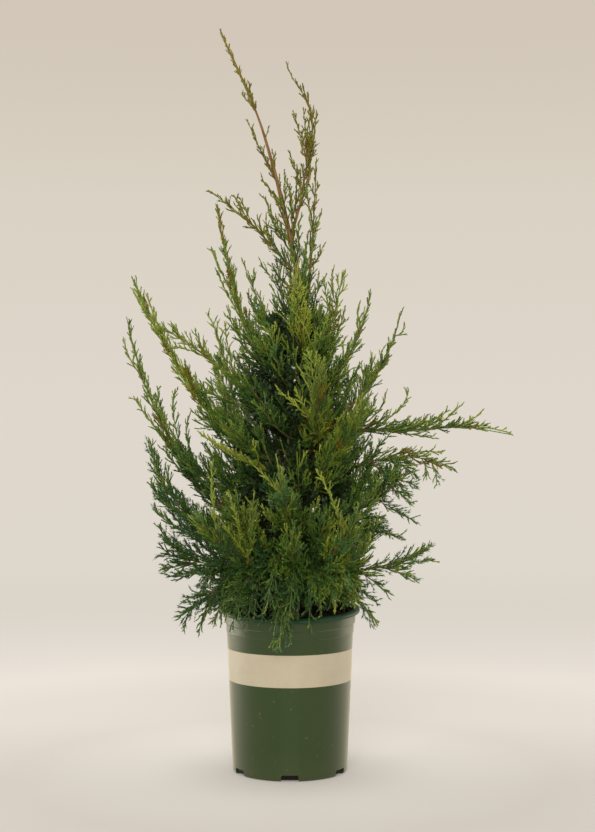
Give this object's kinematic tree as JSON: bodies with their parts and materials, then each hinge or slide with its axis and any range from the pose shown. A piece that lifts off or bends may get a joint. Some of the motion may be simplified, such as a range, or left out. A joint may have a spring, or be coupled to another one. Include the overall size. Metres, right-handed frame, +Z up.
{
  "type": "potted juniper",
  "caption": "Columnar juniper with feathery upswept sprays on slim woody boughs round a leaning leader, growing in a round green nursery pot with a plain cream band.",
  "frame": {"origin": "centre of the pot's flat underside", "axes": "+Z up along the pot's axis; -Y towards the side that the picture shows, +X to its right"},
  "size_m": [0.5834, 0.446, 1.11],
  "materials": {
    "pot": "moulded dark green plastic with a soft sheen and a plain cream band",
    "soil": "dark moist bark potting mix",
    "bark": "reddish-brown bark, smooth on young limbs",
    "foliage": "sprays of small scale and needle leaves, from deep green to yellow-green at the tips"
  },
  "bodies": {
    "root": {"bough_back_left": "bark", "bough_back_middle": "bark", "bough_back_right": "bark", "bough_front_left": "bark", "bough_front_middle": "bark", "bough_front_right": "bark", "bough_left_outer": "bark", "bough_left_tall": "bark", "bough_low_back_left": "bark", "bough_low_back_right": "bark", "bough_low_front_left": "bark", "bough_low_front_right": "bark", "bough_low_left_upright": "bark", "bough_low_right": "bark", "bough_low_right_upper": "bark", "bough_right_drooping": "bark", "bough_right_long": "bark", "bough_right_tall": "bark", "bough_second_leader": "bark", "bough_third_leader": "bark", "bough_top_left": "bark", "bough_top_right": "bark", "foliage_back_left": "foliage", "foliage_back_middle": "foliage", "foliage_back_right": "foliage", "foliage_front_left": "foliage", "foliage_front_middle": "foliage", "foliage_front_right": "foliage", "foliage_leader_side": "foliage", "foliage_leading_shoot": "foliage", "foliage_left_arch": "foliage", "foliage_left_outer": "foliage", "foliage_left_tall": "foliage", "foliage_low_back_left": "foliage", "foliage_low_back_right": "foliage", "foliage_low_front_hanging": "foliage", "foliage_low_front_left": "foliage", "foliage_low_front_middle": "foliage", "foliage_low_front_right": "foliage", "foliage_low_left": "foliage", "foliage_low_left_hanging": "foliage", "foliage_low_left_upright": "foliage", "foliage_low_right": "foliage", "foliage_low_right_hanging": "foliage", "foliage_low_right_upper": "foliage", "foliage_right_drooping": "foliage", "foliage_right_long": "foliage", "foliage_right_tall": "foliage", "foliage_second_leader": "foliage", "foliage_third_leader": "foliage", "foliage_top_back": "foliage", "foliage_top_front": "foliage", "foliage_top_left": "foliage", "foliage_top_left_arch": "foliage", "foliage_top_left_small": "foliage", "foliage_top_right": "foliage", "foliage_top_right_small": "foliage", "pot": "pot", "soil": "soil", "trunk": "bark"}
  },
  "joints": []
}
